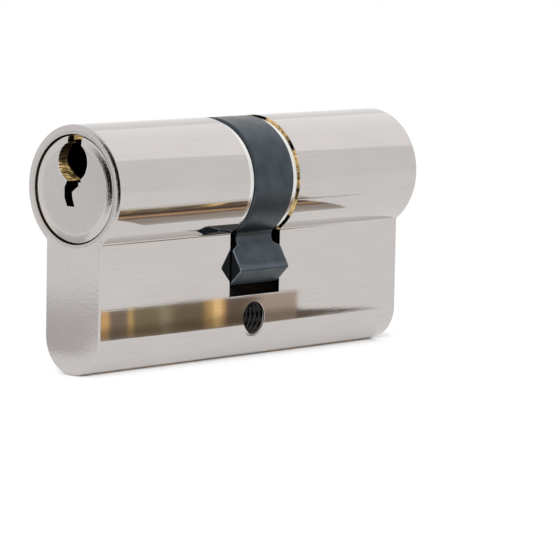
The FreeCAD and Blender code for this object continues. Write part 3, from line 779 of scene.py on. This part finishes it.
def phosphated_steel(colours, sizes):
    """Dark blue-grey phosphate on sintered steel, rubbed in patches and bright on its worn edges, which also
    act as a painted highlight; a painted highlight runs below each peak and painted shade lies on the nose's
    end faces.
    """
    finish = Finish("phosphated_steel")
    noise, step = finish.noise, finish.step
    sizes = InMillimetres(sizes)
    grain = noise(9.0, 4.0, 0.7)
    rubbed = step(noise(0.45, 4.0), 0.35, 0.75)
    wear = step(noise(1.1, rough=0.6), 0.25, 0.60)
    radius = finish.radius()
    peak = sizes.nose_peak
    # painted highlight: a lighter band on the flanks just below the peaks' rounded edges
    past_peak = step(radius, peak - 0.1, peak + 0.05)
    peak_highlight = step(radius, peak - 1.1, peak - 0.25) * (1 - past_peak)
    edge = finish.node("ShaderNodeAttribute", {"attribute_name": "edge"}, output="Fac")
    # edge wear and painted highlight: the lever's rounded edges beyond 9.6 mm are made bright in patches
    worn = edge * wear * step(radius, 8.6, 9.6)
    half_nose = sizes.nose_width / 2
    # painted shade on the nose's end faces, with their rounded edges left out
    nose_end_shade = step(abs(finish.x), half_nose - 0.08, half_nose - 0.02) * (1 - edge)
    colour_value = colours.phosphate
    for share_of_tone, tone in ((rubbed, 1.3), (peak_highlight * 0.6, 2.2), (nose_end_shade, 0.35), (worn, 4.5)):
        colour_value = finish.mix(share_of_tone, colour_value, shaded(colours.phosphate, tone))
    roughness = 0.36 + (grain - 0.5) * 0.16 - rubbed * 0.05 - worn * 0.10
    return finish.finish(colour_value, roughness, grain, 0.010)


def zinc_plate(colours):
    """Bright zinc on the punched retaining rings, with fine marks across their edge."""
    finish = Finish("zinc_plate")
    marks = finish.noise(6.0, stretch=(0.2, 1.0, 1.0))
    colour_value = finish.mix(marks, colours.zinc, shaded(colours.zinc, 0.85))
    return finish.finish(colour_value, 0.20 + (marks - 0.5) * 0.14, marks, 0.003)


def turned_metal(name, tint, rough, grain_scale):
    """Fine turned or drawn metal for the small parts, with slight uneven tarnish."""
    finish = Finish(name)
    lines = finish.noise(grain_scale, stretch=(1.0, 1.0, 4.0))
    colour_value = finish.mix(finish.noise(0.5), tint, shaded(tint, 0.8))
    return finish.finish(colour_value, rough + (lines - 0.5) * 0.15, lines, 0.003)


# ---- operators: one for each piece or group of like pieces ----

class PieceOperator:
    """Shared settings of the operators that make pieces."""

    bl_options = {"REGISTER", "UNDO"}


class CYLINDER_OT_housing(PieceOperator, bpy.types.Operator):
    """Makes the plated housing with its cam slot, bores, pin chambers and threaded hole"""

    bl_idname = "cylinder.housing"
    bl_label = "Housing"

    def execute(self, context):
        sizes = context.scene.cylinder_housing
        thread = context.scene.cylinder_thread
        colours = context.scene.cylinder_colours
        full = euro_outline(sizes, 0.0)
        drawn_in = euro_outline(sizes, sizes.end_bevel)
        inner_x = HALF_LENGTH - sizes.end_bevel
        housing = pulled(
            "plated_housing", (drawn_in, full, full, drawn_in), (-HALF_LENGTH, -inner_x, inner_x, HALF_LENGTH)
        )
        half_slot = sizes.slot_width / 2
        wide = sizes.barrel_radius + OVERRUN
        slot = prism("slot", rectangle(-wide, -sizes.slot_drop, wide, wide), (-half_slot, half_slot))
        beyond = HALF_LENGTH + OVERRUN
        recess_x = HALF_LENGTH - sizes.recess_depth
        bore = turned("bore", [
            (-beyond, sizes.recess_radius),
            (-recess_x, sizes.recess_radius),
            (-recess_x, sizes.bore_radius),
            (recess_x, sizes.bore_radius),
            (recess_x, sizes.recess_radius),
            (beyond, sizes.recess_radius),
        ])
        combine(housing, (slot, bore))
        soften(housing, sizes.edge_round)
        combine(housing, (
            *pin_rods("front", STEM_BOTTOM - OVERRUN, AXIS_Z, sizes.chamber_radius),
            *pin_rods("rear", STEM_BOTTOM - OVERRUN, AXIS_Z, sizes.chamber_radius),
            thread_tool("thread", thread, sizes.stem_radius + OVERRUN),
            *[self.rim(sizes, sign) for sign in (-1, 1)],
        ))
        smooth(housing)
        place(housing, nickel_plate(colours, sizes, thread), "housing", "nickel_plated_brass", "housing")
        return {"FINISHED"}

    def rim(self, sizes, sign):
        """What the shallow rim leaves free on one end of the barrel, but not along the stem.

        It starts a hair outside the end face, so that it cuts the face at an angle.
        """
        hair = 0.002 * MM
        start = sizes.barrel_radius - sizes.rim_width
        beyond = (HALF_LENGTH + OVERRUN) * sign
        face_x = (HALF_LENGTH + hair) * sign
        curve = rim_curve(face_x, start, sizes, sizes.rim_width + OVERRUN)
        section = np.vstack((curve, [(beyond, curve[-1][1]), (beyond, start)]))
        if sign > 0:
            section = section[::-1]
        centre_y, centre_z = hollow_centre(sizes)
        touch = math.atan2(centre_z, centre_y)
        return turned_ring(f"rim_{sign}", section, touch, math.pi - 2 * touch)


class CYLINDER_OT_plugs(PieceOperator, bpy.types.Operator):
    """Makes both plugs, each with its flange, ring groove, keyway, pin holes and clutch slot"""

    bl_idname = "cylinder.plugs"
    bl_label = "Plugs"

    def execute(self, context):
        sizes = context.scene.cylinder_plug
        housing = context.scene.cylinder_housing
        colours = context.scene.cylinder_colours
        for end in ENDS:
            plug = self.make(f"{end}_keyed_plug", sizes, housing)
            if end == "rear":
                turn_round(plug)
            material = plug_nickel(colours, sizes, 1 if end == "front" else -1)
            place(plug, material, f"{end}_plug", "nickel_plated_plug", f"{end}_plug")
        return {"FINISHED"}

    def make(self, name, sizes, housing):
        """One plug, drawn as the front one with its face at -X."""
        ring_low, ring_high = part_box("front_retaining_ring")
        flange_x = sizes.flange_length - HALF_LENGTH
        plug = turned(name, [
            *rim_curve(-HALF_LENGTH, sizes.flange_radius - sizes.rim_width, sizes, sizes.rim_width),
            (flange_x, sizes.flange_radius),
            (flange_x, sizes.plug_radius),
            (ring_low.x, sizes.plug_radius),
            (ring_low.x, sizes.groove_radius),
            (ring_high.x, sizes.groove_radius),
            (ring_high.x, sizes.plug_radius),
            (-sizes.inner_end, sizes.plug_radius),
        ])
        face_end = -HALF_LENGTH - OVERRUN
        inner_end = OVERRUN - sizes.inner_end
        mouth = arc((sizes.mouth_side, sizes.mouth_rise), sizes.mouth_radius, 0, 2 * math.pi, 97)[:-1]
        combine(plug, (
            prism("keyway", keyway_outline(sizes), (face_end, inner_end)),
            prism("mouth", mouth, (face_end, sizes.mouth_depth - HALF_LENGTH)),
        ))
        soften(plug, sizes.edge_round)
        half_slot = sizes.slot_width / 2
        wide = sizes.plug_radius + OVERRUN
        slot = rectangle(-half_slot, -wide, half_slot, wide)
        combine(plug, (
            prism("clutch_slot", slot, (-sizes.inner_end - sizes.slot_depth, inner_end)),
            turned("clutch_seat", [
                (-sizes.inner_end - sizes.seat_depth, sizes.seat_radius),
                (inner_end, sizes.seat_radius),
            ]),
            *pin_rods("front", AXIS_Z - wide, AXIS_Z + sizes.pin_hole_rise, housing.chamber_radius),
        ))
        smooth(plug)
        return plug


class CYLINDER_OT_rings(PieceOperator, bpy.types.Operator):
    """Makes the open retaining ring in each plug's groove"""

    bl_idname = "cylinder.rings"
    bl_label = "Retaining rings"

    def execute(self, context):
        sizes = context.scene.cylinder_plug
        colours = context.scene.cylinder_colours
        material = zinc_plate(colours)
        for end in ENDS:
            low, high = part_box(f"{end}_retaining_ring")
            section = rectangle(low.x, sizes.groove_radius, high.x, high.z - AXIS_Z)
            start = sizes.ring_opening / 2 - math.pi / 2
            ring = turned_ring(f"{end}_zinc_ring", section, start, 2 * math.pi - sizes.ring_opening)
            soften(ring, sizes.edge_round)
            smooth(ring)
            place(ring, material, f"{end}_plug", "zinc_plated_steel", f"{end}_retaining_ring")
        return {"FINISHED"}


class CYLINDER_OT_cam(PieceOperator, bpy.types.Operator):
    """Makes the cam: its ring and web, the lever with hollow flanks and the flared nose"""

    bl_idname = "cylinder.cam"
    bl_label = "Cam"

    def execute(self, context):
        sizes = context.scene.cylinder_cam
        housing = context.scene.cylinder_housing
        colours = context.scene.cylinder_colours
        half = sizes.ring_width / 2
        half_web = sizes.web_width / 2
        rim = sizes.ring_radius - sizes.ring_bevel
        neck_x = half - sizes.ring_bevel
        cam = turned_ring("phosphated_cam", [
            (-half, housing.bore_radius),
            (-half_web, housing.bore_radius),
            (-half_web, sizes.web_bore),
            (half_web, sizes.web_bore),
            (half_web, housing.bore_radius),
            (half, housing.bore_radius),
            (half, rim),
            (neck_x, sizes.ring_radius),
            (-neck_x, sizes.ring_radius),
            (-half, rim),
        ])
        nose_x = sizes.nose_width / 2
        lever = prism("lever", self.lever_outline(sizes), (-nose_x, nose_x))
        combine(lever, [self.neck_side(sizes, neck_x, nose_x, sign) for sign in (-1, 1)])
        combine(cam, (lever,), "UNION")
        soften(cam, sizes.edge_round, math.radians(30), mark=True)
        half_notch = sizes.notch_width / 2
        notch = rectangle(-half_notch, -sizes.notch_reach, half_notch, sizes.notch_reach)
        combine(cam, (prism("notch", notch, (-half, half)),))
        mark_edges(cam)
        smooth(cam)
        place(cam, phosphated_steel(colours, sizes), "cam", "phosphated_steel", "cam")
        return {"FINISHED"}

    def lever_outline(self, sizes):
        """Radial flanks, each joined to the ring by a hollow arc, and the nose's blunt point.

        A hollow's centre is at ring + hollow radius, turned out from the flank by
        asin(hollow / (ring + hollow)), so that the arc touches both. It starts a hair inside the
        ring, so that the two cross without a step. The flanks end at the peaks, which are
        rounded, and close in to the tip's arc about the axis.
        """
        centre_radius = sizes.ring_radius - SINK + sizes.hollow
        turn_out = math.asin(sizes.hollow / centre_radius)
        near = sizes.lean + sizes.half_angle
        far = sizes.lean - sizes.half_angle
        inner = sizes.ring_radius - OVERRUN
        quarter = math.pi / 2 - turn_out
        # straight down is -90 degrees, and turns towards -Y run clockwise
        near_start = math.pi / 2 - near - turn_out
        far_start = math.pi / 2 - far + turn_out
        near_centre = from_stem(centre_radius, near + turn_out)
        far_centre = from_stem(centre_radius, far - turn_out)
        near_hollow = arc(near_centre, sizes.hollow, near_start, near_start - quarter, 18)
        far_hollow = arc(far_centre, sizes.hollow, far_start + quarter, far_start, 18)
        middle = -math.pi / 2 - sizes.lean
        tip = arc((0, 0), sizes.nose_tip, middle - sizes.tip_half_angle, middle + sizes.tip_half_angle, 9)
        near_side = np.vstack(([from_stem(inner, near + turn_out)], near_hollow))
        outline = np.vstack((
            near_side,
            [from_stem(sizes.nose_peak, near)],
            tip,
            [from_stem(sizes.nose_peak, far)],
            far_hollow,
            [from_stem(inner, far - turn_out)],
        ))
        outline = filleted(outline, len(near_side) + 1 + len(tip), sizes.nose_round)
        return filleted(outline, len(near_side), sizes.nose_round)

    def neck_side(self, sizes, neck_x, nose_x, sign):
        """What one side of the narrow neck and the slope of the nose's shoulder leave free."""
        low = sizes.ring_radius - 2 * OVERRUN
        top = sizes.nose_root + sizes.nose_ramp
        beyond = nose_x + OVERRUN
        section = [
            (neck_x * sign, low),
            (beyond * sign, low),
            (beyond * sign, top),
            (nose_x * sign, top),
            (neck_x * sign, sizes.nose_root),
        ]
        if sign < 0:
            section.reverse()
        return turned_ring(f"neck_side_{sign}", section)


class CYLINDER_OT_springs(PieceOperator, bpy.types.Operator):
    """Winds the pin springs"""

    bl_idname = "cylinder.springs"
    bl_label = "Pin springs"

    def execute(self, context):
        sizes = context.scene.cylinder_spring
        material = turned_metal("spring_wire", context.scene.cylinder_colours.spring_steel, 0.30, 9.0)
        for end, number in itertools.product(ENDS, PINS):
            node = f"{end}_pin_spring_{number}"
            driver = f"{end}_driver_pin_{number}"
            low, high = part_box(node)
            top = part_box(driver)[0].z
            foot = Vector((pin_x(end, number), 0, low.z))
            coil = self.coil(f"{end}_coil_spring_{number}", foot, top, (high.x - low.x) / 2, sizes)
            smooth(coil)
            place(coil, material, "housing", "spring_steel", node)
            drop = JOINTS[f"{driver}_drop"]
            kept = 1 + min(drop["range_m"]) / (top - foot.z)
            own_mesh(coil)
        return {"FINISHED"}

    def coil(self, name, foot, top, outer, sizes, steps=24, sides=10):
        """A round wire along a helix (R cos a, R sin a, height), with one closed turn at each end.

        The wire's section lies across the helix: radius * (outward cos b - upward sin b).
        """
        upward = np.array((0, 0, 1))
        wire = sizes.wire_radius
        rise = top - foot.z - 2 * wire
        turns = sizes.working_turns + 2
        turn = np.linspace(0, turns, turns * steps + 1)
        height = np.interp(turn, [0, 1, turns - 1, turns], [0, 2 * wire, rise - 2 * wire, rise])
        turn = turn * 2 * math.pi
        outward = np.column_stack((np.cos(turn), np.sin(turn), turn * 0))[:, None, :]
        path = np.array(foot) + outward * (outer - wire) + upward * (wire + height)[:, None, None]
        around = np.arange(sides)[None, :, None] * 2 * math.pi / sides
        section = outward * np.cos(around) - upward * np.sin(around)
        return shell(name, path + wire * section)


class CYLINDER_OT_small_parts(PieceOperator, bpy.types.Operator):
    """Gives the clutch, the pins and the chamber plugs their finishes"""

    bl_idname = "cylinder.small_parts"
    bl_label = "Small parts"

    def execute(self, context):
        colours = context.scene.cylinder_colours
        finishes = {
            "clutch": turned_metal("clutch_steel", colours.steel, 0.32, 6.0),
            "chamber_plugs": turned_metal("bare_brass", colours.brass, 0.28, 6.0),
            "key_pin": turned_metal("pin_brass", colours.brass, 0.25, 8.0),
            "driver_pin": turned_metal("driver_brass", colours.brass, 0.25, 8.0),
        }
        for name, node in frame["nodes"].items():
            for family, material in finishes.items():
                if f"_{family}" in name:
                    for slot in node.material_slots:
                        slot.material = material
        return {"FINISHED"}


class CYLINDER_OT_stage(PieceOperator, bpy.types.Operator):
    """Makes the floor, the soft light, the glowing cards that paint reflections, and the camera"""

    bl_idname = "cylinder.stage"
    bl_label = "Stage"

    def execute(self, context):
        studio = context.scene.cylinder_studio
        self.make_camera(context, studio)
        self.make_floor(studio)
        self.make_world(context, studio)
        self.make_lamp(context, "wide_lamp", Vector((0.47, 0.0, 0.39)), 0.6, studio.lamp_power)
        fill = self.make_lamp(context, "front_lamp", Vector((-0.36, -0.30, 0.16)), 0.15, studio.fill_power)
        fill.visible_glossy = False
        self.make_reflectors()
        context.scene.view_settings.view_transform = "Standard"
        return {"FINISHED"}

    def make_camera(self, context, studio):
        """A camera at a distance from its aim, turned by azimuth, elevation and roll."""
        turn = (
            Matrix.Rotation(studio.azimuth, 4, "Z")
            @ Matrix.Rotation(math.pi / 2 - studio.elevation, 4, "X")
            @ Matrix.Rotation(studio.roll, 4, "Z")
        )
        data = bpy.data.cameras.new("camera")
        data.lens = studio.lens
        data.sensor_width = 36.0
        data.clip_start = 10 * MM
        camera = bpy.data.objects.new("camera", data)
        context.scene.collection.objects.link(camera)
        back = Matrix.Translation((0, 0, studio.distance))
        camera.matrix_world = Matrix.Translation(studio.aim) @ turn @ back
        context.scene.camera = camera

    def make_floor(self, studio):
        """A wide pale plane under the stem, near white where it is looked at, but not by the foot, where the
        white is held back so that the floor shows a painted darker band round the foot.
        """
        reach = 4000
        z = STEM_BOTTOM / MM - 0.02
        floor = card("floor", [(x, y, z) for x, y in rectangle(-reach, -reach, reach, reach)])
        material = bpy.data.materials.new("pale_floor")
        nodes = Nodes(material)
        nodes.locate()
        surface = nodes.tree.nodes["Principled BSDF"]
        nodes.connect(surface.inputs["Base Color"], studio.floor_colour)
        nodes.connect(surface.inputs["Roughness"], 0.9)
        nodes.connect(surface.inputs["Specular IOR Level"], 0.0)
        glow = nodes.node("ShaderNodeEmission", {}, Strength=studio.glow_level)
        pale = Value(nodes, surface.outputs[0])
        # painted shade: within 7.5 mm of the stem and 33 mm of the middle the glow is held back, so the floor
        # round the foot looks darker, directly and in the metal
        away = nodes.step(abs(nodes.y), 0.0, 7.5) | nodes.step(abs(nodes.x), 33.0, 38.0)
        nodes.end(nodes.node("ShaderNodeMixShader", {}, nodes.looking() * away * studio.glow, pale, glow))
        floor.data.materials.append(material)

    def make_world(self, context, studio):
        """White where it is looked at, and an even pale light otherwise."""
        world = bpy.data.worlds.new("surroundings")
        nodes = Nodes(world)
        tone = nodes.mix(nodes.looking(), [studio.sky] * 3, (1.0, 1.0, 1.0))
        nodes.connect(world.node_tree.nodes["Background"].inputs["Color"], tone)
        context.scene.world = world

    def make_lamp(self, context, name, spot, size, watts):
        """A soft square lamp turned to the part."""
        data = bpy.data.lights.new(name, "AREA")
        data.shape = "SQUARE"
        data.size = size
        data.energy = watts
        lamp = bpy.data.objects.new(name, data)
        lamp.location = spot
        lamp.rotation_euler = spot.to_track_quat("Z", "Y").to_euler()
        context.scene.collection.objects.link(lamp)
        return lamp

    def make_reflectors(self):
        """Glowing coloured cards, seen only in the metal, that paint reflections in dark, brown and golden
        bands and give the plating its contrast.

        The near side of the stem shows the upright card. The barrel's underside shows the sloping
        one, which falls away at the slope of the stem's own reflection and so is edge-on to it.
        """
        floor = STEM_BOTTOM / MM + 0.1
        near_y = -31
        left, right = -6, 38.5
        upright = [(x, near_y, z) for x, z in rectangle(left, floor, right, floor + 4.2)]
        # painted reflection: the bands of brown and gold that the near side of the stem shows
        tones = [
            (-3.8, 0.15, (0.42, 0.34, 0.26)), (-3.6, 0.15, (0.95, 0.60, 0.25)),
            (-1.6, 0.3, (0.30, 0.23, 0.18)), (2.2, 0.2, (0.80, 0.56, 0.22)),
            (3.3, 0.3, (0.30, 0.25, 0.15)), (9.0, 1.2, (0.48, 0.42, 0.28)),
            (11.0, 2.0, (0.24, 0.19, 0.12)), (18.2, 0.8, (0.72, 0.47, 0.18)),
            (20.0, 0.4, (1.35, 0.92, 0.42)), (21.8, 0.3, (0.80, 0.50, 0.22)),
            (22.7, 0.4, (0.20, 0.15, 0.11)), (29.0, 2.5, (0.60, 0.48, 0.40)),
        ]

        def upright_tone(nodes):
            lit = 0.45 + 0.55 * nodes.step(nodes.z - floor, 0.9, 2.4)
            return nodes.mix(lit, (0.09, 0.065, 0.037), banded(nodes, nodes.x, tones))

        glowing_card("upright_card", upright, upright_tone)
        wedge = [(right, near_y, floor), (58, near_y, floor), (right, near_y, floor + 1.3)]
        glowing_card("wedge_card", wedge, lambda nodes: (0.15, 0.12, 0.10))
        low_y, high_y, high = near_y + 0.1, -13.0, floor + 3.05
        slope = [(left, low_y, floor), (40, low_y, floor), (37, high_y, high), (left, high_y, high)]
        streaks = [
            (-30.0, 0.5, (0.16, 0.11, 0.08)), (-27.6, 0.6, (0.10, 0.06, 0.04)),
            (-25.8, 0.5, (0.38, 0.28, 0.21)), (-24.0, 0.3, (0.85, 0.52, 0.26)),
            (-22.8, 0.3, (0.30, 0.22, 0.17)), (-20.0, 1.2, (0.48, 0.42, 0.37)),
            (-15.0, 1.5, (0.60, 0.57, 0.54)),
        ]
        glowing_card("sloping_card", slope, lambda nodes: banded(nodes, nodes.y, streaks))
        far_y = near_y - 0.1
        far = [(2, -42, floor), (50, -42, floor), (44, far_y, floor), (-4, far_y, floor)]
        fading = [
            (-41.0, 0.5, (0.92, 0.88, 0.84)), (-37.5, 3.0, (0.66, 0.57, 0.50)),
            (-33.5, 1.5, (0.30, 0.23, 0.18)),
        ]
        glowing_card("far_card", far, lambda nodes: banded(nodes, nodes.y, fading))
        behind = [(-44, 12, floor), (-92, 48, floor), (-74, 72, floor), (-40, 30, floor)]
        glowing_card("behind_card", behind, lambda nodes: (0.70, 0.69, 0.68))
        end = [
            (-150.0, 17.5, -3), (-133.7, 54.5, -3), (-128.0, 67.5, 14), (-128.0, 67.5, 41), (-149.6, 18.5, 41)
        ]
        glowing_card("end_card", end, lambda nodes: (0.01, 0.01, 0.01))


def banded(nodes, along, tones):
    """Colours that follow each other along a card, each (place, blur, colour)."""
    lines = nodes.noise(2.5, stretch=(0.05, 0.05, 1.0))
    tone = tones[0][2]
    for start, blur, next_tone in tones[1:]:
        ragged = along + (lines - 0.5) * blur * 3.0
        tone = nodes.mix(nodes.step(ragged, start - blur, start + blur), tone, next_tone)
    return tone


def card(name, corners):
    """A flat polygon, its corners in millimetres."""
    mesh = bpy.data.meshes.new(name)
    mesh.from_pydata((np.asarray(corners) * MM).tolist(), [], [tuple(range(len(corners)))])
    piece = bpy.data.objects.new(name, mesh)
    bpy.context.scene.collection.objects.link(piece)
    return piece


def glowing_card(name, corners, tone):
    """A card that glows in the colour that tone gives, for the metal's reflections alone."""
    piece = card(name, corners)
    material = bpy.data.materials.new(name)
    nodes = Nodes(material)
    nodes.locate()
    nodes.end(nodes.node("ShaderNodeEmission", {}, Color=tone(nodes)))
    piece.data.materials.append(material)
    piece.visible_camera = False
    piece.visible_diffuse = False
    piece.visible_shadow = False
    piece.visible_transmission = False


# ---- panel and registration ----

GROUPS = (
    ("cylinder_housing", HousingSizes),
    ("cylinder_thread", ThreadSizes),
    ("cylinder_plug", PlugSizes),
    ("cylinder_spring", SpringSizes),
    ("cylinder_cam", CamSizes),
    ("cylinder_colours", FinishColours),
    ("cylinder_studio", StudioSettings),
)
OPERATORS = (
    CYLINDER_OT_housing,
    CYLINDER_OT_plugs,
    CYLINDER_OT_rings,
    CYLINDER_OT_cam,
    CYLINDER_OT_springs,
    CYLINDER_OT_small_parts,
    CYLINDER_OT_stage,
)


class CYLINDER_PT_panel(bpy.types.Panel):
    """Lists the sizes, the colours and the operators that make the lock cylinder"""

    bl_idname = "CYLINDER_PT_panel"
    bl_label = "Euro cylinder"
    bl_space_type = "VIEW_3D"
    bl_region_type = "UI"
    bl_category = "Euro cylinder"

    def draw(self, context):
        for operator in OPERATORS:
            self.layout.operator(operator.bl_idname)
        for name, group in GROUPS:
            box = self.layout.box()
            box.label(text=group.__doc__)
            for key in group.__annotations__:
                box.prop(getattr(context.scene, name), key)


def register():
    for name, group in GROUPS:
        bpy.utils.register_class(group)
        setattr(bpy.types.Scene, name, PointerProperty(type=group))
    for operator in OPERATORS:
        bpy.utils.register_class(operator)
    bpy.utils.register_class(CYLINDER_PT_panel)


def unregister():
    bpy.utils.unregister_class(CYLINDER_PT_panel)
    for operator in reversed(OPERATORS):
        bpy.utils.unregister_class(operator)
    for name, group in reversed(GROUPS):
        delattr(bpy.types.Scene, name)
        bpy.utils.unregister_class(group)


def main():
    """Registers the add-on, then makes the stage and every piece."""
    register()
    bpy.ops.cylinder.stage()
    bpy.ops.cylinder.housing()
    bpy.ops.cylinder.plugs()
    bpy.ops.cylinder.rings()
    bpy.ops.cylinder.cam()
    bpy.ops.cylinder.springs()
    bpy.ops.cylinder.small_parts()


if __name__ == "__main__":
    main()
